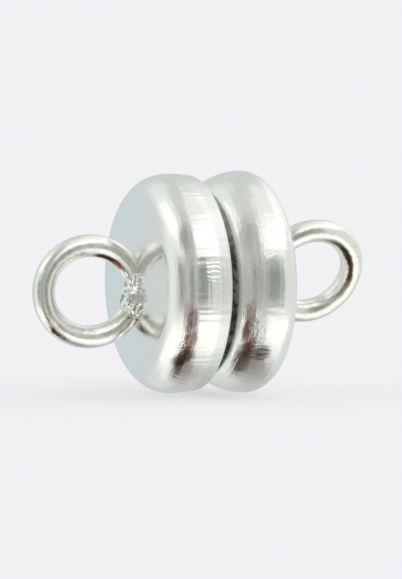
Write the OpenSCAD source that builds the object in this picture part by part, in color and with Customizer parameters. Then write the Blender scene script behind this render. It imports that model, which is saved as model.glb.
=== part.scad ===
// A round magnetic clasp for a necklace or bracelet.
// Two plated brass cups each hold a disc magnet and carry a wire ring soldered to the outer face.
// The clasp lies on its side with its axis along X. Z is up and the origin is under the middle of its length.
// All sizes are in millimetres.

/* [Left half] */
// Widest diameter of the left cup
left_d = 8; // [7:0.1:9]
// Thickness of the left cup, from its rim to its outer face
left_thickness = 2.25; // [2.1:0.05:3]
// Radius of the shoulder between the outer face and the band
left_shoulder_r = 1.25; // [0.8:0.05:1.5]
// How far the crowned band falls from its widest circle to the rim
left_rim_drop = 0.09; // [0.04:0.01:0.5]
// Rounding of the rim
left_rim_r = 0.16; // [0.05:0.01:0.3]

/* [Right half] */
// Widest diameter of the right cup
right_d = 8.12; // [7.8:0.02:9]
// Thickness of the right cup, from its rim to its outer face
right_thickness = 2.52; // [2.2:0.02:3]
// Radius of the shoulder between the outer face and the band
right_shoulder_r = 0.75; // [0.5:0.05:1.2]
// How far the crowned band falls from its widest circle to the rim
right_rim_drop = 0.97; // [0.2:0.01:1]
// Rounding of the rim
right_rim_r = 0.2; // [0.05:0.01:0.3]

/* [Wire rings] */
// Diameter of the wire
wire_d = 0.82; // [0.6:0.02:1.2]
// Diameter of the hole inside each ring
ring_hole_d = 2.5; // [1.8:0.1:3.2]
// Extra length of the left ring, which is a little oval
left_ring_stretch = 0.26; // [0.1:0.02:0.8]
// Depth to which the left ring's wire sinks into the outer face
left_ring_sink = 0.41; // [0.1:0.01:0.5]
// Depth to which the right ring's wire sinks into the outer face
right_ring_sink = 0.1; // [0.05:0.01:0.4]
// Height of the left ring's middle over the clasp's axis
left_ring_lift = -0.2; // [-0.5:0.02:0.5]
// Height of the right ring's middle over the clasp's axis
right_ring_lift = 0.32; // [-0.5:0.02:0.5]
// Turn of the right ring about the clasp's axis, its top towards the front, in degrees
right_ring_turn = 24; // [-90:1:90]

/* [Solder] */
// How much thicker than the wire the bead of solder along the joint is
solder_over = 0.12; // [0.08:0.02:0.4]
// Length of the bead between the middles of its round ends
solder_length = 0.6; // [0.2:0.05:1]
// How far the left bead's middle lies under the ring's middle
left_solder_drop = 0.2; // [0:0.05:0.4]

/* [Magnets] */
// Diameter of each disc magnet
magnet_d = 5; // [4:0.1:5.4]
// Thickness of each disc magnet
magnet_thickness = 1.5; // [1:0.05:1.6]
// Bevel on the edges of a magnet
magnet_bevel = 0.12; // [0.04:0.02:0.3]
// How far each magnet stands out of its cup's rim
magnet_proud = 0.05; // [0:0.01:0.06]
// Clearance round and behind each magnet in its pocket
pocket_clearance = 0.05; // [0.02:0.01:0.1]

/* [Fit] */
// Gap between the two rims when the clasp is closed
rim_gap = 0.15; // [0.13:0.01:0.4]

/* [Hidden] */
$fn = 96;
ring_r = (ring_hole_d + wire_d) / 2;
solder_d = wire_d + solder_over;
left_ring_z = left_thickness + ring_r + wire_d / 2 - left_ring_sink;
right_ring_z = right_thickness + ring_r + wire_d / 2 - right_ring_sink;
left_reach = rim_gap / 2 + left_ring_z + left_ring_stretch + ring_r + wire_d / 2;
right_reach = rim_gap / 2 + right_ring_z + ring_r + wire_d / 2;
seam_x = (left_reach - right_reach) / 2;
axis_z = max(left_d, right_d) / 2;
rim_seam = 0.002;
plate_colour = [0.84, 0.86, 0.86];
magnet_colour = [0.62, 0.63, 0.65];

// A length in whole microns, so that arcs worked out from it meet where they should.
function micron(length) = round(length * 1000) / 1000;

// Half section of a cup, its rim at height 0: outer face, shoulder arc, crowned band arc, rounded rim.
// The band is widest where the shoulder ends. The rim's round stands out of the band and the rim's plane
// by rim_seam, so that it crosses them and doesn't only touch them.
module cup_section(r, thickness, shoulder_r, rim_drop, rim_r) {
    crown_z = thickness - shoulder_r;
    band_r = micron((pow(crown_z, 2) + pow(rim_drop, 2)) / (2 * rim_drop));
    band_c = [r - band_r, crown_z];
    shoulder_c = [r - shoulder_r, crown_z];
    rim_x = band_c[0] + sqrt(pow(band_r - rim_r, 2) - pow(crown_z - rim_r, 2));
    rim_c = [micron(rim_x), rim_r];
    past_band = rim_c + (rim_c - band_c);
    past_crown = [r + band_r, crown_z];
    polygon([[0, 0], [rim_c[0], 0], rim_c, shoulder_c, [shoulder_c[0], thickness], [0, thickness]]);
    intersection() {
        translate(band_c) circle(band_r);
        polygon([rim_c, past_band, past_crown, shoulder_c]);
    }
    translate(shoulder_c)
        intersection() {
            circle(shoulder_r);
            square(shoulder_r);
        }
    translate([rim_c[0], 0])
        intersection() {
            translate([0, rim_r]) circle(rim_r + rim_seam);
            translate([-rim_r, 0]) square(2 * rim_r + rim_seam);
        }
}

// A cup without its pocket, rim down, round the Z axis.
module cup_body(d, thickness, shoulder_r, rim_drop, rim_r) {
    rotate_extrude() cup_section(d / 2, thickness, shoulder_r, rim_drop, rim_r);
}

// Each half is drawn upright with its rim down. These lay it along the clasp's axis, its X side up.
module place_left() {
    translate([seam_x - rim_gap / 2, 0, axis_z]) rotate([0, -90, 0]) children();
}

module place_right() {
    translate([seam_x + rim_gap / 2, 0, axis_z]) mirror([1, 0, 0]) rotate([0, -90, 0]) children();
}

// A ring of round wire in the XZ plane. With a stretch it is oval, with two short straights along Z.
module wire_ring(stretch = 0) {
    rotate([90, 0, 0]) {
        if (stretch > 0) {
            translate([0, stretch, 0]) half_ring();
            rotate([0, 0, 180]) half_ring();
            for (side = [-1, 1])
                translate([side * ring_r, 0, 0]) rotate([-90, 0, 0]) cylinder(d = wire_d, h = stretch);
        } else {
            rotate_extrude() translate([ring_r, 0]) circle(d = wire_d);
        }
    }
}

module half_ring() {
    rotate_extrude(angle = 180) translate([ring_r, 0]) circle(d = wire_d);
}

// A bead of solder with round ends, lying along X.
module solder_bead() {
    reach = solder_length + solder_d;
    rotate([0, 90, 0])
        rotate_extrude()
            intersection() {
                union() {
                    square([solder_d, solder_length], center = true);
                    for (side = [-1, 1])
                        translate([0, side * solder_length / 2]) circle(d = solder_d);
                }
                translate([0, -reach]) square(2 * reach);
            }
}

// The pocket that a magnet sits in, open at the rim.
module pocket() {
    depth = magnet_thickness - magnet_proud + pocket_clearance;
    translate([0, 0, -depth]) cylinder(d = magnet_d + 2 * pocket_clearance, h = 2 * depth);
}

module magnet() {
    r = magnet_d / 2;
    flat_r = r - magnet_bevel;
    top = magnet_thickness - magnet_bevel;
    color(magnet_colour)
        translate([0, 0, -magnet_proud])
            rotate_extrude()
                polygon([[0, 0], [flat_r, 0], [r, magnet_bevel], [r, top], [flat_r, magnet_thickness],
                         [0, magnet_thickness]]);
}

module left_cup() {
    color(plate_colour)
        place_left()
            difference() {
                union() {
                    cup_body(left_d, left_thickness, left_shoulder_r, left_rim_drop, left_rim_r);
                    translate([left_ring_lift, 0, left_ring_z]) wire_ring(left_ring_stretch);
                    translate([left_ring_lift - left_solder_drop, 0, left_thickness]) solder_bead();
                }
                pocket();
            }
}

module right_cup() {
    color(plate_colour)
        place_right()
            difference() {
                union() {
                    cup_body(right_d, right_thickness, right_shoulder_r, right_rim_drop, right_rim_r);
                    translate([right_ring_lift, 0, 0]) rotate([0, 0, -right_ring_turn]) {
                        translate([0, 0, right_ring_z]) wire_ring();
                        translate([0, 0, right_thickness]) solder_bead();
                    }
                }
                pocket();
            }
}

module left_magnet() {
    place_left() magnet();
}

module right_magnet() {
    place_right() magnet();
}

left_cup();
left_magnet();
right_magnet();
right_cup();
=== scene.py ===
"""A round magnetic clasp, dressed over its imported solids: plated cups, wire rings, solder and magnets."""

import math

import bmesh
import bpy
import numpy as np
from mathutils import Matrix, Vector, noise


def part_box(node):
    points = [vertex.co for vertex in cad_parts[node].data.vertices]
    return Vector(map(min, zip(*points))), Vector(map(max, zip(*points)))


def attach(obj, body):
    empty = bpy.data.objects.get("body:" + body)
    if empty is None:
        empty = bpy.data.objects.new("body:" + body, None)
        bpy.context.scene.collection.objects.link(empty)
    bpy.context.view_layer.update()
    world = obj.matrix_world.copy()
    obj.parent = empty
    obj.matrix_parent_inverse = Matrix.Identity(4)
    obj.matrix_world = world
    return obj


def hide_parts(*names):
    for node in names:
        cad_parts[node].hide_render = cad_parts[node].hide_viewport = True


MM = 0.001

# The photograph's frame, in pixels, and how the camera sees the clasp in it.
IMAGE_WIDTH = 402
IMAGE_HEIGHT = 579
CAMERA_AZIMUTH = math.radians(-22.5)
CAMERA_ELEVATION = math.radians(4)
CAMERA_DISTANCE = 250 * MM
PIXELS_PER_MM = 27.4
# Where the middle of the left rim's plane shows in the photograph.
LEFT_RIM_PIXEL = (192.4, 282.8)
# The width of the camera's sensor, in millimetres.
SENSOR = 36.0

# The cups. Heights are measured from the rim's plane to the outer face, and each face is slightly domed.
LEFT_CUP = {
    "thickness": 2.25 * MM,
    "shoulder_r": 1.25 * MM,
    "rim_drop": 0.09 * MM,
    "rim_r": 0.16 * MM,
    "dome": math.radians(4),
    "dome_start": 1.2 * MM,
}
RIGHT_CUP = {
    "thickness": 2.52 * MM,
    "shoulder_r": 0.75 * MM,
    "rim_drop": 0.97 * MM,
    "rim_r": 0.2 * MM,
    "dome": math.radians(3),
    "dome_start": 1.5 * MM,
}
# The pocket that a magnet sits in.
POCKET_R = 2.55 * MM
POCKET_DEPTH = 1.5 * MM

# The wire rings: how deep the wire sinks into the face, how high the ring's middle lies over the axis, how
# much longer than round it is, its turn about the axis, and how far short of the joint its ends stop, in
# turn about the ring's middle.
WIRE_R = 0.41 * MM
RING_R = 1.66 * MM
LEFT_RING = {
    "sink": 0.41 * MM,
    "lift": -0.2 * MM,
    "stretch": 0.26 * MM,
    "turn": 0.0,
    "upper_end": math.radians(21),
    "lower_end": math.radians(33),
}
RIGHT_RING = {
    "sink": 0.1 * MM,
    "lift": 0.32 * MM,
    "stretch": 0.0,
    "turn": math.radians(24),
    "upper_end": math.radians(24),
    "lower_end": math.radians(24),
}
# The rounding of the wire's cut ends.
WIRE_BEVEL = 0.05 * MM

# The solder between the ends of each ring, in millimetres: the rounding of its ends, the width and length
# of its flutes, and how far they stand out.
SOLDER_ROUND = 0.16
SOLDER_FLUTE = 0.11
SOLDER_FLUTE_LENGTH = 0.34
SOLDER_ROUGH = 0.075
# Its section is squarer with a higher power, its facets take this share of the flutes away, and its knobs
# are more pointed with a higher power.
SECTION_POWER = 4
FACET_SHARE = 0.85
KNOB_POWER = 1.2
# Each profile is (height, radius), the facets are smooth levels (height, half size), and the knobs are
# (height, turn from outwards to the front in degrees, size, how far it stands out).
LEFT_SOLDER = {
    "seed": 3.1,
    "profile": [
        (0.72, 0.4), (0.5, 0.4), (0.28, 0.35), (0.2, 0.33), (-0.1, 0.46), (-0.45, 0.47), (-0.85, 0.34),
        (-1.1, 0.4),
    ],
    "facets": [(0.38, 0.1), (-0.28, 0.13)],
    "knobs": [
        (0.58, 6, 0.15, 0.1), (0.5, 42, 0.09, -0.09), (0.6, 72, 0.1, 0.07), (0.57, 112, 0.1, 0.07),
        (0.0, 14, 0.09, 0.06), (-0.3, 10, 0.1, 0.03), (-0.58, 10, 0.12, 0.04), (-0.36, 34, 0.08, -0.12),
        (-0.62, 64, 0.1, 0.05), (-0.6, 100, 0.1, 0.06), (-0.95, 45, 0.12, -0.1), (-0.86, 2, 0.15, 0.12),
        (-0.93, 84, 0.1, 0.07), (-0.95, 115, 0.1, 0.07), (0.0, 300, 0.16, 0.07), (-0.4, 320, 0.14, 0.06),
        (-0.75, 295, 0.16, 0.06),
    ],
}
RIGHT_SOLDER = {
    "seed": 7.7,
    "profile": [
        (0.8, 0.4), (0.45, 0.42), (0.25, 0.34), (0.0, 0.46), (-0.35, 0.46), (-0.6, 0.36), (-0.84, 0.4),
    ],
    "facets": [(-0.15, 0.14)],
    "knobs": [
        (0.58, 20, 0.14, 0.1), (0.2, 60, 0.12, 0.08), (0.05, 300, 0.14, 0.08), (-0.15, 15, 0.12, 0.08),
        (-0.3, 80, 0.12, 0.08), (-0.5, 35, 0.12, 0.09), (-0.6, 320, 0.13, 0.08), (0.45, 285, 0.13, 0.08),
        (-0.4, 270, 0.12, 0.07), (0.3, 20, 0.1, -0.1), (-0.35, 50, 0.1, -0.1), (0.2, 320, 0.1, -0.09),
    ],
}

# How finely the meshes are divided.
FACE_STEPS = 48
SHOULDER_STEPS = 40
BAND_STEPS = 36
RIM_STEPS = 12
CUP_SIDES = 288
WIRE_SIDES = 48
RING_STEPS = 216
SOLDER_SIDES = 96
SOLDER_STEPS = 120
# Edges sharper than this stay sharp.
SHARP_ANGLE = math.radians(40)

# What the background shows, as linear light.
BACKGROUND = (0.879, 0.863, 0.905)

# How far a noise runs from its low places to its high ones, where two shades share a surface and where two
# roughnesses do.
SHADE_RANGE = (0.35, 0.65)
ROUGHNESS_RANGE = (0.3, 0.7)

# The plate's two shades, and its roughness from its brightest to its dullest places. The outer faces are a
# little smoother, within the distances from the axis that follow.
PLATE_COOL = (0.955, 0.965, 0.955)
PLATE_WARM = (0.97, 0.965, 0.95)
PLATE_ROUGHNESS = {"left": (0.16, 0.26), "right": (0.18, 0.27)}
ROUGHNESS_SCALE = 1.6 / MM
FACE_SMOOTHER = -0.04
FACE_EDGE = (2.5 * MM, 3.3 * MM)
# The small bumps of the plate: how high its waves, its pits, the marks of turning round each cup, and the
# marks of drawing along each band are, and how large. Sizes round the axis hold at ROUND_R from it.
ROUND_R = 4 * MM
WAVES = 0.014 * MM
WAVE_SCALE = 0.9 / MM
PITS = {"left": 0.004 * MM, "right": 0.009 * MM}
PIT_SCALE = 5.0 / MM
TURNING = 0.008 * MM
TURNING_SIZE = (0.11 * MM, 2.2 * MM)
TURNED_FROM = (2.4 * MM, 3.2 * MM)
DRAWING = {"left": 0.02 * MM, "right": 0.008 * MM}
DRAWING_SIZE = (1.2 * MM, 0.17 * MM)
DRAWN_FROM = (3.75 * MM, 3.96 * MM)
# Chatter marks, in millimetres: the middle and the half sizes of each patch. They run along the clasp.
CHATTER = {
    "left": ((-1.02, -3.95, 4.72), (0.36, 0.8, 0.62)),
    "right": ((1.12, -3.2, 1.75), (0.5, 0.7, 0.45)),
}
CHATTER_STEP = 0.16 * MM
CHATTER_BEND_SCALE = 1.5 / MM
CHATTER_DEPTH = {"left": 0.008 * MM, "right": 0.0045 * MM}
# Patches of fine grain in the plate, in millimetres: the middle and the half sizes.
GRAINY = {
    "left": ((-1.9, -3.2, 2.1), (0.34, 0.7, 0.9)),
    "right": ((1.05, -3.5, 2.5), (0.7, 0.7, 1.1)),
}
GRAIN_DEPTH = 0.01 * MM
GRAIN_SCALE = 14.0 / MM
# The left cup is worn and less bright along its rim, over this width.
RIM_WEAR = {"left": 0.5 * MM, "right": 0.0}
WEAR_FADES = (0.8, 1.2)
# Half the gap between the rims.
HALF_GAP = 0.075 * MM
WORN_PLATE = (0.82, 0.84, 0.83)
WORN_ROUGHER = 0.16
# Painted shade in the seam, standing in for the shade in the gap between the rims: how far from the seam's
# middle it is painted, and between what radii. It is mottled from its darkest to its palest, and the
# painted shade grows lighter between two heights over the axis. The plate is also rougher where it is
# painted.
SEAM_SHADE_REACH = {"left": 0.12 * MM, "right": 0.3 * MM}
SEAM_SHADE_SOFT = 0.07 * MM
SEAM_DEPTH = {"left": (3.2 * MM, 3.78 * MM), "right": (3.0 * MM, 3.6 * MM)}
SEAM_SOFT = 0.1 * MM
SEAM_SHADE_COLOURS = {
    "left": ((0.2, 0.205, 0.18), (0.42, 0.42, 0.37)),
    "right": ((0.1, 0.1, 0.085), (0.44, 0.44, 0.37)),
}
SEAM_SHADE_ROUGHER = 0.3
MOTTLE_SCALE = 3.2 / MM
MOTTLE_RANGE = (0.42, 0.62)
PALER_HEIGHTS = (0.6 * MM, 2.6 * MM)
PALER_SHARE = 0.62

# The wire: its two shades, the specks in it, its dents and grain, and its roughness.
WIRE_GREEN = (0.93, 0.94, 0.9)
WIRE_PALE = (0.96, 0.96, 0.93)
WIRE_SPECK = (0.86, 0.855, 0.8)
WIRE_ROUGHNESS = (0.2, 0.3)
SPECK_SCALE = 8.0 / MM
SPECK_RANGE = (0.56, 0.68)
DENT_DEPTH = 0.03 * MM
DENT_SCALE = 1.6 / MM
WIRE_GRAIN_DEPTH = 0.004 * MM
WIRE_GRAIN_SCALE = 7.0 / MM

# The solder: the painted shade in its hollows and its bright places, its grain, which is longer upwards,
# and its roughness.
SOLDER_HOLLOW_SHADE = (0.46, 0.45, 0.42)
SOLDER_BRIGHT = (1.0, 1.0, 0.99)
SHADED_HOLLOW_RANGE = (0.34, 0.44)
SOLDER_GRAIN_DEPTH = 0.006 * MM
SOLDER_GRAIN_SCALE = 6.5 / MM
SOLDER_GRAIN_STRETCH = (1.0, 1.0, 0.45)
SOLDER_ROUGHNESS = 0.13

# The magnets' nickel.
NICKEL = (0.58, 0.57, 0.56)
NICKEL_ROUGHNESS = (0.28, 0.45)
NICKEL_GRAIN_SCALE = 12 / MM

# The floor: half its width in metres, its colour and how much of its light is its own glow.
FLOOR_HALF = 4.0
FLOOR_COLOUR = (0.45, 0.443, 0.466)
FLOOR_GLOW = 0.6

# What the plated metal mirrors: soft panels of the studio, in degrees. Turn is measured about Z from the
# camera's side, to the right in the picture. Rise is the height over the horizon. Colours are as seen, 0
# to 255, and brighter than 255 where a lamp shines through.
STUDIO_BASE = (204, 209, 206)
# How far the panels' edges stray from straight, in radians, and how often.
STUDIO_WOBBLE = 0.045
STUDIO_WOBBLE_SCALE = 4.0
STUDIO_PANELS = [
    # turn from, turn to, soft, rise from, rise to, soft, colour
    (-200, 200, 1, 80, 100, 10, (226, 225, 220)),
    (-12, 190, 24, 57, 92, 12, (238, 238, 232)),
    (-200, -136, 24, -90, -48, 20, (176, 175, 169)),
    (132, 200, 24, -90, -48, 20, (170, 168, 163)),
    (-200, 200, 1, -100, -76, 12, (148, 142, 137)),
    (-200, -148, 20, -56, -26, 16, (194, 198, 194)),
    (138, 200, 20, -56, -26, 16, (194, 197, 193)),
    # Left, beside the clasp
    (-158, -128, 16, -28, 26, 16, (203, 214, 217)),
    (-132, -96, 20, -26, 24, 14, (208, 215, 212)),
    (-100, -58, 16, -26, 26, 14, (232, 238, 231)),
    (-150, -100, 24, 28, 56, 14, (226, 236, 228)),
    (-110, -48, 16, 26, 56, 9, (266, 267, 262)),
    (-165, -108, 24, -59, -28, 9, (216, 222, 218)),
    (-114, -36, 14, -57, -22, 8, (262, 264, 258)),
    (-134, -92, 18, -59, -44, 8, (248, 249, 244)),
    # Right, beside the clasp
    (40, 160, 20, -34, 34, 16, (222, 226, 220)),
    (5, 150, 7, 28, 61, 8, (270, 270, 267)),
    (120, 165, 24, 10, 50, 20, (250, 250, 246)),
    (20, 80, 22, 56, 71, 8, (256, 256, 252)),
    (13, 110, 8, -66, -26, 9, (266, 267, 261)),
    (100, 145, 20, -62, -30, 16, (222, 226, 222)),
    # The grey gap over the camera
    (-62, 0, 14, 54, 78, 14, (206, 204, 200)),
    (-54, 4, 10, 22, 60, 12, (190, 191, 186)),
    (-47, -22, 9, 30, 62, 10, (158, 159, 155)),
    (-14, -3, 7, 30, 58, 10, (176, 177, 172)),
    # The grey gap at the camera's height
    (-64, 47, 20, -22, 26, 20, (188, 191, 184)),
    (-59, -38, 9, -14, 22, 13, (148, 152, 146)),
    (-72, -38, 10, 19, 31, 8, (238, 240, 236)),
    (-20, -6, 8, -18, 24, 14, (144, 146, 140)),
    (11, 42, 19, -20, 25, 22, (138, 143, 138)),
    # The warm gap under the camera, down to the table's dark edge
    (-36, -13, 7, -64, -18, 10, (124, 108, 98)),
    (-13, -3, 4, -61, -26, 8, (252, 250, 246)),
    (-3, 13, 5, -62, -26, 8, (196, 195, 189)),
    (-38, -15, 7, -64, -42, 10, (128, 98, 84)),
    (-132, 0, 24, -79, -60, 8, (76, 64, 57)),
    (-76, -38, 10, -66, -54, 6, (82, 68, 61)),
    (8, 84, 16, -77, -60, 8, (246, 246, 242)),
]

# Painted reflections of the studio's warm and dark places, among them a painted orange glint, laid in the
# colour of the plate, the wire and the solder, in millimetres: the middle, the half sizes along X, Y and Z,
# and the colour painted there.
PAINTED_REFLECTIONS = {
    "left_plate": [
        ((-1.73, -3.8, 2.98), (0.2, 0.6, 0.64), (0.42, 0.37, 0.34)),
        ((-1.65, -3.5, 2.3), (0.2, 0.6, 0.5), (0.42, 0.35, 0.31)),
        ((-1.84, -3.35, 2.25), (0.13, 0.3, 0.36), (0.96, 0.6, 0.42)),
        ((-1.68, -3.08, 1.72), (0.34, 0.46, 0.42), (0.4, 0.29, 0.27)),
        ((-1.92, -2.72, 1.46), (0.3, 0.5, 0.3), (0.34, 0.31, 0.3)),
    ],
    "left_wire": [
        ((-5.78, -0.28, 2.45), (0.1, 0.2, 0.24), (0.25, 0.2, 0.16)),
        ((-6.0, -0.38, 2.95), (0.12, 0.2, 0.3), (0.82, 0.74, 0.64)),
        ((-2.88, -0.04, 2.36), (0.46, 0.38, 0.46), (0.24, 0.13, 0.1)),
        ((-2.88, -0.26, 2.89), (0.18, 0.28, 0.1), (0.32, 0.22, 0.2)),
    ],
    "right_plate": [
        ((0.48, -3.35, 2.5), (0.15, 0.5, 0.62), (0.26, 0.17, 0.14)),
        ((0.62, -3.1, 1.8), (0.2, 0.5, 0.62), (0.5, 0.37, 0.32)),
        ((1.17, -3.2, 1.67), (0.38, 0.6, 0.46), (0.27, 0.245, 0.25)),
    ],
    "right_wire": [],
}
# How far the painted reflections' edges stray, and how often.
REFLECTION_WOBBLE = 0.07 * MM
REFLECTION_WOBBLE_SCALE = 6 / MM
# Each painted reflection or patch of marks fades between these shares of its half sizes.
PATCH_FADES = (0.35, 1.05)
# Dark lines, painted reflections of dark and warm places, that follow the wire inside each ring, in
# millimetres
# and degrees: the line's radius about the ring's middle, its way across the wire, its half width, from and
# to what turn about the ring's middle, the softness of its ends, and the colour.
PAINTED_RING_LINES = {
    "left": [
        (1.3, -0.23, 0.16, 47, 90, 14, (0.08, 0.04, 0.03)),
        (1.28, -0.21, 0.14, 37, 56, 9, (0.5, 0.21, 0.13)),
        (1.32, -0.28, 0.05, 30, 38, 6, (0.4, 0.3, 0.24)),
    ],
    "right": [
        (1.5, -0.37, 0.15, -40, 76, 26, (0.5, 0.44, 0.36)),
        (1.51, -0.38, 0.11, -16, 60, 30, (0.09, 0.07, 0.05)),
    ],
}
# Each line fades between these shares of its half width, and its edges are ragged by a share of it.
LINE_FADES = (0.3, 1.1)
LINE_RAGGED = 0.8
LINE_RAGGED_SCALE = 5 / MM


def arc(centre, radius, start, end, steps):
    """Points (r, h) on an arc, its angles measured from the outward direction towards the outer face."""
    angles = np.linspace(start, end, steps + 1)
    return [(centre[0] + radius * math.cos(a), centre[1] + radius * math.sin(a)) for a in angles]


def cup_profile(radius, cup):
    """Half section of a cup, from the middle of its face round the rim to the middle of its pocket."""
    crown_h = cup["thickness"] - cup["shoulder_r"]
    band_r = (crown_h**2 + cup["rim_drop"] ** 2) / (2 * cup["rim_drop"])
    band_c = (radius - band_r, crown_h)
    shoulder_c = (radius - cup["shoulder_r"], crown_h)
    rim_x = band_c[0] + math.sqrt((band_r - cup["rim_r"]) ** 2 - (crown_h - cup["rim_r"]) ** 2)
    rim_c = (rim_x, cup["rim_r"])
    rim_angle = math.atan2(rim_c[1] - band_c[1], rim_c[0] - band_c[0])
    dome = cup["dome"]
    start = cup["dome_start"]
    shoulder = arc(shoulder_c, cup["shoulder_r"], math.pi / 2 - dome, 0, SHOULDER_STEPS)
    edge_r, edge_h = shoulder[0]
    fall = math.tan(dome) / (2 * (edge_r - start))
    middle_h = edge_h + fall * (edge_r - start) ** 2
    radii = np.linspace(0, edge_r, FACE_STEPS)[:-1]
    face = [(r, middle_h - fall * max(r - start, 0) ** 2) for r in radii]
    band = arc(band_c, band_r, 0, rim_angle, BAND_STEPS)[1:]
    rim = arc(rim_c, cup["rim_r"], rim_angle, -math.pi / 2, RIM_STEPS)[1:]
    pocket = [(POCKET_R, 0.0), (POCKET_R, POCKET_DEPTH), (0.0, POCKET_DEPTH)]
    return face + shoulder + band + rim + pocket


def new_piece(name, vertices, faces):
    """A closed, smooth-shaded mesh whose faces look outwards and whose hard edges stay sharp."""
    mesh = bpy.data.meshes.new(name)
    mesh.from_pydata([tuple(v) for v in vertices], [], faces)
    bm = bmesh.new()
    bm.from_mesh(mesh)
    bmesh.ops.recalc_face_normals(bm, faces=bm.faces)
    bm.to_mesh(mesh)
    bm.free()
    mesh.shade_smooth()
    mesh.set_sharp_from_angle(angle=SHARP_ANGLE)
    piece = bpy.data.objects.new(name, mesh)
    bpy.context.scene.collection.objects.link(piece)
    return piece


def grid_faces(rows, sides, closed):
    """Quads between rows of vertices that each run once round. closed joins the last row to the first."""
    faces = []
    for k in range(rows if closed else rows - 1):
        a = k * sides
        b = (k + 1) % rows * sides
        for i in range(sides):
            j = (i + 1) % sides
            faces.append((a + i, a + j, b + j, b + i))
    return faces


def capped_rows(rows, first, last):
    """Vertices and faces of a closed skin through rows of points, with one point at each end."""
    sides = len(rows[0])
    vertices = [v for row in rows for v in row] + [first, last]
    faces = grid_faces(len(rows), sides, closed=False)
    head = len(vertices) - 2
    tail = len(vertices) - 1
    end = (len(rows) - 1) * sides
    for i in range(sides):
        j = (i + 1) % sides
        faces.append((head, j, i))
        faces.append((tail, end + i, end + j))
    return vertices, faces


def cup_shell(name, profile, place):
    """Turns a cup's profile about its axis. place maps a height and two radial lengths to a point."""
    rows = []
    for r, h in profile[1:-1]:
        angles = [2 * math.pi * i / CUP_SIDES for i in range(CUP_SIDES)]
        rows.append([place(h, r * math.cos(a), r * math.sin(a)) for a in angles])
    first = place(profile[0][1], 0, 0)
    last = place(profile[-1][1], 0, 0)
    return new_piece(name, *capped_rows(rows, first, last))


def wire_ring(name, ring, place):
    """A ring of round wire, open at its joint, with softly cut ends.

    place maps lengths outwards, up and across to a point.
    """
    angles = np.linspace(ring["upper_end"], 2 * math.pi - ring["lower_end"], RING_STEPS)
    stretch = ring["stretch"] * (1 - np.cos(angles)) / 2
    path = np.stack([stretch - RING_R * np.cos(angles), RING_R * np.sin(angles)], axis=1)
    ahead = np.gradient(path, axis=0)
    ahead /= np.linalg.norm(ahead, axis=1)[:, None]
    run = np.concatenate([[0], np.cumsum(np.linalg.norm(np.diff(path, axis=0), axis=1))])
    from_end = np.minimum(run, run[-1] - run)
    soft = np.clip(from_end / WIRE_BEVEL, 0, 1)
    radius = WIRE_R - WIRE_BEVEL * (1 - np.sqrt(1 - (1 - soft) ** 2))
    rows = []
    for (out, up), (d_out, d_up), r in zip(path, ahead, radius):
        row = []
        for i in range(WIRE_SIDES):
            a = 2 * math.pi * i / WIRE_SIDES
            n = r * math.cos(a)
            row.append(place(out - d_up * n, up + d_out * n, r * math.sin(a)))
        rows.append(row)
    return new_piece(name, *capped_rows(rows, place(*path[0], 0), place(*path[-1], 0)))


def solder_column(name, solder, place):
    """Rough fluted solder between the ends of a ring, round the line where the ring meets the cup."""
    heights = [h for h, r in reversed(solder["profile"])]
    radii = [r for h, r in reversed(solder["profile"])]
    top = heights[-1]
    bottom = heights[0]
    widest = max(radii)

    def at(up, turn):
        level = min(top - up, up - bottom) / SOLDER_ROUND
        power = SECTION_POWER
        square = (abs(math.cos(turn)) ** power + abs(math.sin(turn)) ** power) ** (-1 / power)
        r = np.interp(up, heights, radii) * square * math.sqrt(max(1 - max(1 - level, 0) ** 2, 0))
        for knob_up, knob_turn, size, height in solder["knobs"]:
            apart = (turn - math.radians(knob_turn) + math.pi) % (2 * math.pi) - math.pi
            away = math.hypot(up - knob_up, apart * widest) / size
            r += height * max(1 - away**2, 0) ** KNOB_POWER
        smooth = max(math.exp(-(((up - h) / size) ** 2)) for h, size in solder["facets"])
        flute = Vector((widest * math.cos(turn), widest * math.sin(turn), 0)) / SOLDER_FLUTE
        flute.z = up / SOLDER_FLUTE_LENGTH + solder["seed"]
        r += SOLDER_ROUGH * (1 - FACET_SHARE * smooth) * noise.noise(flute) * min(1, r / widest)
        return place(r * math.cos(turn) * MM, up * MM, -r * math.sin(turn) * MM)

    middle = (top + bottom) / 2
    half = (top - bottom) / 2
    rows = []
    for k in range(1, SOLDER_STEPS):
        up = middle + half * math.cos(math.pi * k / SOLDER_STEPS)
        rows.append([at(up, 2 * math.pi * i / SOLDER_SIDES) for i in range(SOLDER_SIDES)])
    return new_piece(name, *capped_rows(rows, place(0, top * MM, 0), place(0, bottom * MM, 0)))


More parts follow.
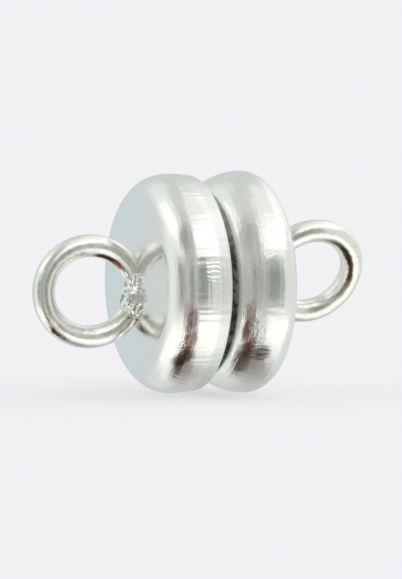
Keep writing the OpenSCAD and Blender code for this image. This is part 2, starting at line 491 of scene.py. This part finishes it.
class Graph:
    """Adds nodes to a node tree, so that a chain of them reads as a formula."""

    def __init__(self, tree):
        self.tree = tree
        tree.nodes.clear()

    def add(self, kind, **settings):
        node = self.tree.nodes.new(kind)
        for key, value in settings.items():
            setattr(node, key, value)
        return node

    def put(self, socket, value):
        """Sets a socket to a number, or links another socket to it."""
        if isinstance(value, bpy.types.NodeSocket):
            self.tree.links.new(value, socket)
        elif value is not None:
            socket.default_value = value

    def math(self, operation, a, b=None, c=None):
        node = self.add("ShaderNodeMath", operation=operation)
        for socket, value in zip(node.inputs, (a, b, c)):
            self.put(socket, value)
        return node.outputs[0]

    def vector(self, operation, a, b=None, scale=None):
        node = self.add("ShaderNodeVectorMath", operation=operation)
        self.put(node.inputs[0], a)
        if b is not None:
            self.put(node.inputs[1], b)
        if scale is not None:
            self.put(node.inputs["Scale"], scale)
        return node.outputs["Value"] if operation in ("LENGTH", "DOT_PRODUCT") else node.outputs[0]

    def combine(self, x, y, z):
        node = self.add("ShaderNodeCombineXYZ")
        for socket, value in zip(node.inputs, (x, y, z)):
            self.put(socket, value)
        return node.outputs[0]

    def separate(self, vector):
        node = self.add("ShaderNodeSeparateXYZ")
        self.put(node.inputs[0], vector)
        return node.outputs

    def smooth(self, value, low, high, to_low=0.0, to_high=1.0):
        """The value's way from low to high, with soft ends."""
        node = self.add("ShaderNodeMapRange", interpolation_type="SMOOTHSTEP")
        for key, number in zip(("Value", "From Min", "From Max", "To Min", "To Max"),
                               (value, low, high, to_low, to_high)):
            self.put(node.inputs[key], number)
        return node.outputs[0]

    def mix(self, share, a, b):
        node = self.add("ShaderNodeMix", data_type="RGBA")
        colours = [socket for socket in node.inputs if socket.type == "RGBA"]
        self.put(node.inputs["Factor"], share)
        self.put(colours[0], a)
        self.put(colours[1], b)
        return [socket for socket in node.outputs if socket.type == "RGBA"][0]

    def noise(self, vector, scale, detail=2.0, roughness=0.5):
        node = self.add("ShaderNodeTexNoise")
        self.put(node.inputs["Vector"], vector)
        self.put(node.inputs["Scale"], scale)
        self.put(node.inputs["Detail"], detail)
        self.put(node.inputs["Roughness"], roughness)
        return node.outputs[0]

    def noise_vector(self, vector, scale):
        """A smooth random vector, each part between -1 and 1."""
        node = self.add("ShaderNodeTexNoise")
        self.put(node.inputs["Vector"], vector)
        self.put(node.inputs["Scale"], scale)
        self.put(node.inputs["Detail"], 2.0)
        return self.vector("SUBTRACT", self.vector("SCALE", node.outputs[1], scale=2.0), (1.0, 1.0, 1.0))

    def band(self, value, low, high, soft):
        """1 between low and high, and 0 outside, with a soft edge centred on each."""
        rise = self.smooth(value, low - soft / 2, low + soft / 2)
        fall = self.smooth(value, high - soft / 2, high + soft / 2, 1.0, 0.0)
        return self.math("MULTIPLY", rise, fall)


def opaque(colour):
    """A colour of linear light with full alpha."""
    return tuple(colour) + (1.0,)


def linear(colour):
    """A colour of 0 to 255, as seen on a screen, as linear light with full alpha."""
    shares = [c / 255 for c in colour]
    return opaque(s / 12.92 if s <= 0.04045 else ((s + 0.055) / 1.055) ** 2.4 for s in shares)


def studio_world():
    """The studio that the metal mirrors. The camera itself sees only the plain background."""
    world = bpy.data.worlds.new("studio")
    world.use_nodes = True
    g = Graph(world.node_tree)
    direction = g.add("ShaderNodeTexCoord").outputs["Generated"]
    wobble = g.vector("SCALE", g.noise_vector(direction, STUDIO_WOBBLE_SCALE), scale=STUDIO_WOBBLE)
    x, y, z = g.separate(g.vector("NORMALIZE", g.vector("ADD", direction, wobble)))
    # The camera looks along this direction, so a turn of 0 is the camera's own side.
    side_x = math.sin(CAMERA_AZIMUTH)
    side_y = -math.cos(CAMERA_AZIMUTH)
    along = g.math("ADD", g.math("MULTIPLY", x, side_x), g.math("MULTIPLY", y, side_y))
    across = g.math("ADD", g.math("MULTIPLY", x, -side_y), g.math("MULTIPLY", y, side_x))
    turn = g.math("DEGREES", g.math("ARCTAN2", across, along))
    rise = g.math("DEGREES", g.math("ARCSINE", z))
    colour = linear(STUDIO_BASE)
    for turn_from, turn_to, turn_soft, rise_from, rise_to, rise_soft, panel in STUDIO_PANELS:
        share = g.math("MULTIPLY", g.band(turn, turn_from, turn_to, turn_soft),
                       g.band(rise, rise_from, rise_to, rise_soft))
        colour = g.mix(share, colour, linear(panel))
    seen = g.add("ShaderNodeBackground")
    g.put(seen.inputs["Color"], opaque(BACKGROUND))
    mirrored = g.add("ShaderNodeBackground")
    g.put(mirrored.inputs["Color"], colour)
    pick = g.add("ShaderNodeMixShader")
    g.put(pick.inputs[0], g.add("ShaderNodeLightPath").outputs["Is Camera Ray"])
    g.put(pick.inputs[1], mirrored.outputs[0])
    g.put(pick.inputs[2], seen.outputs[0])
    out = g.add("ShaderNodeOutputWorld")
    g.put(out.inputs["Surface"], pick.outputs[0])
    bpy.context.scene.world = world


def new_material(name):
    material = bpy.data.materials.new(name)
    material.use_nodes = True
    return material, Graph(material.node_tree)


def around_axis(g, position, axis_z):
    """The way along the clasp, the distance from its axis, and the cosine and sine about it."""
    x, y, z = g.separate(position)
    up = g.math("SUBTRACT", z, axis_z)
    flat = g.combine(0.0, y, up)
    distance = g.math("MAXIMUM", g.vector("LENGTH", flat), 0.01 * MM)
    return x, distance, g.math("DIVIDE", y, distance), g.math("DIVIDE", up, distance)


def bumps(g, layers):
    """One normal from layers of (height, distance), the coarsest first."""
    normal = None
    for height, reach in layers:
        node = g.add("ShaderNodeBump")
        g.put(node.inputs["Height"], height)
        g.put(node.inputs["Distance"], reach)
        g.put(node.inputs["Strength"], 1.0)
        g.put(node.inputs["Normal"], normal)
        normal = node.outputs[0]
    return normal


def with_painted_reflections(g, position, colour, marks):
    """The plate's colour with painted reflections of warm and dark places over it, their edges wobbled."""
    wobble = g.vector("SCALE", g.noise_vector(position, REFLECTION_WOBBLE_SCALE), scale=REFLECTION_WOBBLE)
    wobbled = g.vector("ADD", position, wobble)
    for middle, sizes, painted_colour in PAINTED_REFLECTIONS[marks]:
        colour = g.mix(patch(g, wobbled, middle, sizes), colour, opaque(painted_colour))
    return colour


def with_painted_ring_lines(g, position, colour, half, centre, turn):
    """The wire's colour with the painted reflections, dark lines inside its ring, over it."""
    from_centre = g.vector("SUBTRACT", position, centre)
    out = g.separate(from_centre)[0]
    up = g.vector("DOT_PRODUCT", from_centre, (0.0, -math.sin(turn), math.cos(turn)))
    across = g.vector("DOT_PRODUCT", from_centre, (0.0, math.cos(turn), math.sin(turn)))
    radius = g.vector("LENGTH", g.combine(out, up, 0.0))
    angle = g.math("DEGREES", g.math("ARCTAN2", up, out))
    ragged = g.math("SUBTRACT", g.noise(position, LINE_RAGGED_SCALE), 0.5)
    ragged = g.math("MULTIPLY", ragged, LINE_RAGGED)
    for line_r, line_across, width, turn_from, turn_to, soft, painted_colour in PAINTED_RING_LINES[half]:
        off_radius = g.math("SUBTRACT", radius, line_r * MM)
        off_across = g.math("SUBTRACT", across, line_across * MM)
        away = g.vector("LENGTH", g.combine(off_radius, off_across, 0.0))
        away = g.math("ADD", g.math("DIVIDE", away, width * MM), ragged)
        beside = g.smooth(away, *LINE_FADES, 1.0, 0.0)
        share = g.math("MULTIPLY", beside, g.band(angle, turn_from, turn_to, soft))
        colour = g.mix(share, colour, opaque(painted_colour))
    return colour


def metal(g, colour, roughness, normal):
    shader = g.add("ShaderNodeBsdfPrincipled")
    g.put(shader.inputs["Base Color"], colour)
    g.put(shader.inputs["Metallic"], 1.0)
    g.put(shader.inputs["Roughness"], roughness)
    g.put(shader.inputs["Normal"], normal)
    out = g.add("ShaderNodeOutputMaterial")
    g.put(out.inputs["Surface"], shader.outputs[0])


def patch(g, position, middle, sizes):
    """1 in the middle of an ellipsoid and 0 outside it. middle and sizes are in millimetres."""
    away = g.vector("SUBTRACT", position, tuple(c * MM for c in middle))
    away = g.vector("LENGTH", g.vector("DIVIDE", away, tuple(c * MM for c in sizes)))
    return g.smooth(away, *PATCH_FADES, 1.0, 0.0)


def silver_plate(half, axis_z, seam_x):
    """Bright silver plate over brass, with fine marks, small pits, painted shade in the seam and painted
    reflections.
    """
    material, g = new_material("silver_plate_" + half)
    position = g.add("ShaderNodeTexCoord").outputs["Object"]
    x, distance, cosine, sine = around_axis(g, position, axis_z)

    def ridges(size_along, size_round, detail):
        """Noise that is stretched along the clasp or round it, with no jump anywhere round the axis."""
        reach = ROUND_R / size_round
        around = g.combine(g.math("DIVIDE", x, size_along), g.math("MULTIPLY", cosine, reach),
                           g.math("MULTIPLY", sine, reach))
        node = g.add("ShaderNodeTexNoise", noise_dimensions="4D")
        g.put(node.inputs["Vector"], around)
        g.put(node.inputs["W"], g.math("DIVIDE", distance, size_along))
        g.put(node.inputs["Scale"], 1.0)
        g.put(node.inputs["Detail"], detail)
        return node.outputs[0]

    def chatter():
        """Short even ridges along the clasp, in one patch."""
        shift = g.math("MULTIPLY", g.noise(position, CHATTER_BEND_SCALE, detail=1.0), 2 * CHATTER_STEP)
        up = g.math("ADD", g.separate(position)[2], shift)
        ridge = g.math("SINE", g.math("MULTIPLY", up, 2 * math.pi / CHATTER_STEP))
        return g.math("MULTIPLY", ridge, patch(g, position, *CHATTER[half]))

    wave = g.noise(position, WAVE_SCALE, detail=1.0)
    turned = g.math("MULTIPLY", ridges(*TURNING_SIZE, 1.0), g.smooth(distance, *TURNED_FROM))
    drawn = g.math("MULTIPLY", ridges(*DRAWING_SIZE, 0.0), g.smooth(distance, *DRAWN_FROM))
    grain = g.noise(position, GRAIN_SCALE, detail=1.0)
    grain = g.math("MULTIPLY", grain, patch(g, position, *GRAINY[half]))
    normal = bumps(g, [
        (wave, WAVES),
        (g.noise(position, PIT_SCALE), PITS[half]),
        (turned, TURNING),
        (drawn, DRAWING[half]),
        (chatter(), CHATTER_DEPTH[half]),
        (grain, GRAIN_DEPTH),
    ])
    colour = g.mix(g.smooth(wave, *SHADE_RANGE), opaque(PLATE_COOL), opaque(PLATE_WARM))
    # Painted reflections of warm and dark places, and a painted orange glint, laid in the plate's colour.
    colour = with_painted_reflections(g, position, colour, half + "_plate")

    # Painted shade in the seam: darker, mottled plate near the rims' gap, lighter higher up, and rougher
    # there.
    from_seam = g.math("ABSOLUTE", g.math("SUBTRACT", x, seam_x))
    near_seam = g.smooth(from_seam, SEAM_SHADE_REACH[half], SEAM_SHADE_REACH[half] + SEAM_SHADE_SOFT, 1.0, 0.0)
    inside = g.band(distance, *SEAM_DEPTH[half], SEAM_SOFT)
    above = g.math("SUBTRACT", g.separate(position)[2], axis_z)
    paler = g.smooth(above, *PALER_HEIGHTS, 1.0, PALER_SHARE)
    seam_shade = g.math("MULTIPLY", g.math("MULTIPLY", near_seam, inside), paler)
    darkest, palest = SEAM_SHADE_COLOURS[half]
    mottle = g.smooth(g.noise(position, MOTTLE_SCALE, detail=4.0, roughness=0.7), *MOTTLE_RANGE)
    colour = g.mix(seam_shade, colour, g.mix(mottle, opaque(darkest), opaque(palest)))

    near, far = (HALF_GAP + share * RIM_WEAR[half] for share in WEAR_FADES)
    worn = g.smooth(from_seam, near, far + 0.001 * MM, 1.0, 0.0)
    colour = g.mix(worn, colour, g.mix(0.5, colour, opaque(WORN_PLATE)))

    patchy = g.noise(position, ROUGHNESS_SCALE, detail=3.0)
    roughness = g.smooth(patchy, *ROUGHNESS_RANGE, *PLATE_ROUGHNESS[half])
    roughness = g.math("ADD", roughness, g.smooth(distance, *FACE_EDGE, FACE_SMOOTHER, 0.0))
    roughness = g.math("ADD", roughness, g.math("MULTIPLY", worn, WORN_ROUGHER))
    roughness = g.math("ADD", roughness, g.math("MULTIPLY", seam_shade, SEAM_SHADE_ROUGHER))
    metal(g, colour, roughness, normal)
    return material


def silver_wire(half, centre, turn):
    """Silver plate on drawn wire, softer than the cups', with small dents, specks and painted reflections
    of warm and dark places.
    """
    material, g = new_material("silver_wire_" + half)
    position = g.add("ShaderNodeTexCoord").outputs["Object"]
    dents = g.noise(position, DENT_SCALE, detail=1.0)
    grain = g.noise(position, WIRE_GRAIN_SCALE)
    normal = bumps(g, [(dents, DENT_DEPTH), (grain, WIRE_GRAIN_DEPTH)])
    colour = g.mix(g.smooth(dents, *SHADE_RANGE), opaque(WIRE_GREEN), opaque(WIRE_PALE))
    specks = g.smooth(g.noise(position, SPECK_SCALE, roughness=0.6), *SPECK_RANGE)
    colour = g.mix(specks, colour, opaque(WIRE_SPECK))
    # Painted reflections of warm and dark places, as patches and as lines inside the ring.
    colour = with_painted_reflections(g, position, colour, half + "_wire")
    # Painted reflections as dark and warm lines along the wire inside the ring.
    colour = with_painted_ring_lines(g, position, colour, half, centre, turn)
    metal(g, colour, g.smooth(grain, *ROUGHNESS_RANGE, *WIRE_ROUGHNESS), normal)
    return material


def silver_solder(half):
    """Bright rough solder under the plate, with painted shade in its hollows and the wire's painted
    reflections.
    """
    material, g = new_material("silver_solder_" + half)
    position = g.add("ShaderNodeTexCoord").outputs["Object"]
    stretched = g.vector("MULTIPLY", position, SOLDER_GRAIN_STRETCH)
    grain = g.noise(stretched, SOLDER_GRAIN_SCALE, detail=1.0)
    # Painted shade: the grain's hollows are darker.
    colour = g.mix(g.smooth(grain, *SHADED_HOLLOW_RANGE), opaque(SOLDER_HOLLOW_SHADE), opaque(SOLDER_BRIGHT))
    colour = with_painted_reflections(g, position, colour, half + "_wire")
    metal(g, colour, SOLDER_ROUGHNESS, bumps(g, [(grain, SOLDER_GRAIN_DEPTH)]))
    return material


def magnet_nickel():
    """Satin nickel plate on a sintered magnet."""
    material, g = new_material("magnet_nickel")
    position = g.add("ShaderNodeTexCoord").outputs["Object"]
    grain = g.noise(position, NICKEL_GRAIN_SCALE, detail=4.0)
    metal(g, opaque(NICKEL), g.smooth(grain, *ROUGHNESS_RANGE, *NICKEL_ROUGHNESS), None)
    return material


def add_floor():
    """A pale floor that glows like the background and takes a faint shadow. Metal doesn't mirror it."""
    mesh = bpy.data.meshes.new("floor")
    half = FLOOR_HALF
    corners = [(-half, -half, 0), (half, -half, 0), (half, half, 0), (-half, half, 0)]
    mesh.from_pydata(corners, [], [(0, 1, 2, 3)])
    floor = bpy.data.objects.new("floor", mesh)
    bpy.context.scene.collection.objects.link(floor)
    floor.visible_glossy = False
    material, g = new_material("floor")
    shade = g.add("ShaderNodeBsdfDiffuse")
    g.put(shade.inputs["Color"], opaque(FLOOR_COLOUR))
    glow = g.add("ShaderNodeEmission")
    g.put(glow.inputs["Color"], opaque(BACKGROUND))
    g.put(glow.inputs["Strength"], FLOOR_GLOW)
    both = g.add("ShaderNodeAddShader")
    g.put(both.inputs[0], shade.outputs[0])
    g.put(both.inputs[1], glow.outputs[0])
    out = g.add("ShaderNodeOutputMaterial")
    g.put(out.inputs["Surface"], both.outputs[0])
    mesh.materials.append(material)


def add_camera(rim_x, axis_z):
    """The camera at the photograph's angle, aimed so that the left rim's middle falls on its own pixel."""
    a = CAMERA_AZIMUTH
    e = CAMERA_ELEVATION
    back = Vector((math.sin(a) * math.cos(e), -math.cos(a) * math.cos(e), math.sin(e)))
    right = Vector((math.cos(a), math.sin(a), 0))
    up = back.cross(right)
    target = Vector((rim_x, 0, axis_z))
    target += right * (IMAGE_WIDTH / 2 - LEFT_RIM_PIXEL[0]) / PIXELS_PER_MM * MM
    target -= up * (IMAGE_HEIGHT / 2 - LEFT_RIM_PIXEL[1]) / PIXELS_PER_MM * MM
    camera = bpy.data.objects.new("camera", bpy.data.cameras.new("camera"))
    bpy.context.scene.collection.objects.link(camera)
    frame_height = IMAGE_HEIGHT / PIXELS_PER_MM * MM
    camera.data.sensor_width = SENSOR
    camera.data.lens = SENSOR * CAMERA_DISTANCE / frame_height
    camera.data.clip_start = 0.01
    camera.data.clip_end = 100
    camera.location = target + back * CAMERA_DISTANCE
    camera.rotation_mode = "QUATERNION"
    camera.rotation_quaternion = (-back).to_track_quat("-Z", "Y")
    bpy.context.scene.camera = camera


def half_places(side, rim_x, axis_z, cup, ring):
    """Two functions that lay a half's cup and its ring along the clasp.

    side is -1 on the left and 1 on the right.
    """
    ring_base = cup["thickness"] + RING_R + WIRE_R - ring["sink"]
    turn = ring["turn"]

    def cup_place(height, across, up):
        return (rim_x + side * height, across, axis_z + up)

    def ring_place(out, up, across, base=ring_base):
        y = -up * math.sin(turn) + across * math.cos(turn)
        z = up * math.cos(turn) + across * math.sin(turn)
        return (rim_x + side * (base + out), y, axis_z + ring["lift"] + z)

    return cup_place, ring_place


def dress(piece, body, node, material):
    piece.data.materials.append(material)
    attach(piece, body)
    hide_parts(node)


def add_half(name, side, rim_x, radius, axis_z, seam_x, cup, ring, solder):
    """A cup with its wire ring and the solder between them."""
    cup_place, ring_place = half_places(side, rim_x, axis_z, cup, ring)

    def solder_place(out, up, across):
        return ring_place(out, up, across, base=cup["thickness"])

    body = name + "_half"
    node = name + "_cup"
    plate = silver_plate(name, axis_z, seam_x)
    dress(cup_shell(name + "_cup_shell", cup_profile(radius, cup), cup_place), body, node, plate)
    wire = silver_wire(name, ring_place(0, 0, 0), ring["turn"])
    dress(wire_ring(name + "_wire_ring", ring, ring_place), body, node, wire)
    dress(solder_column(name + "_solder", solder, solder_place), body, node, silver_solder(name))


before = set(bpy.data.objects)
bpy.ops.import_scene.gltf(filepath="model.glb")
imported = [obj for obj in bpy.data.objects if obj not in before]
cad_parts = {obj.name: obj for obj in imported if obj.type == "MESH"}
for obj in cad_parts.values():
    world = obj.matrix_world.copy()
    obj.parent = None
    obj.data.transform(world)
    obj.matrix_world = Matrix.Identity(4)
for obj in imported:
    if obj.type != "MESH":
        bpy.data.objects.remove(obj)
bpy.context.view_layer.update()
left_low, left_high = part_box("left_cup")
right_low, right_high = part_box("right_cup")
left_axis_z = (left_low.z + left_high.z) / 2
right_axis_z = (right_low.z + right_high.z) / 2
left_radius = (left_high.z - left_low.z) / 2
right_radius = (right_high.z - right_low.z) / 2

add_camera(left_high.x, left_axis_z)
studio_world()
add_floor()
seam_x = (left_high.x + right_low.x) / 2
nickel = magnet_nickel()
add_half("left", -1, left_high.x, left_radius, left_axis_z, seam_x, LEFT_CUP, LEFT_RING, LEFT_SOLDER)
add_half("right", 1, right_low.x, right_radius, right_axis_z, seam_x, RIGHT_CUP, RIGHT_RING, RIGHT_SOLDER)
for magnet in ("left_magnet", "right_magnet"):
    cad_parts[magnet].data.materials.clear()
    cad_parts[magnet].data.materials.append(nickel)
bpy.context.scene.view_settings.view_transform = "Standard"
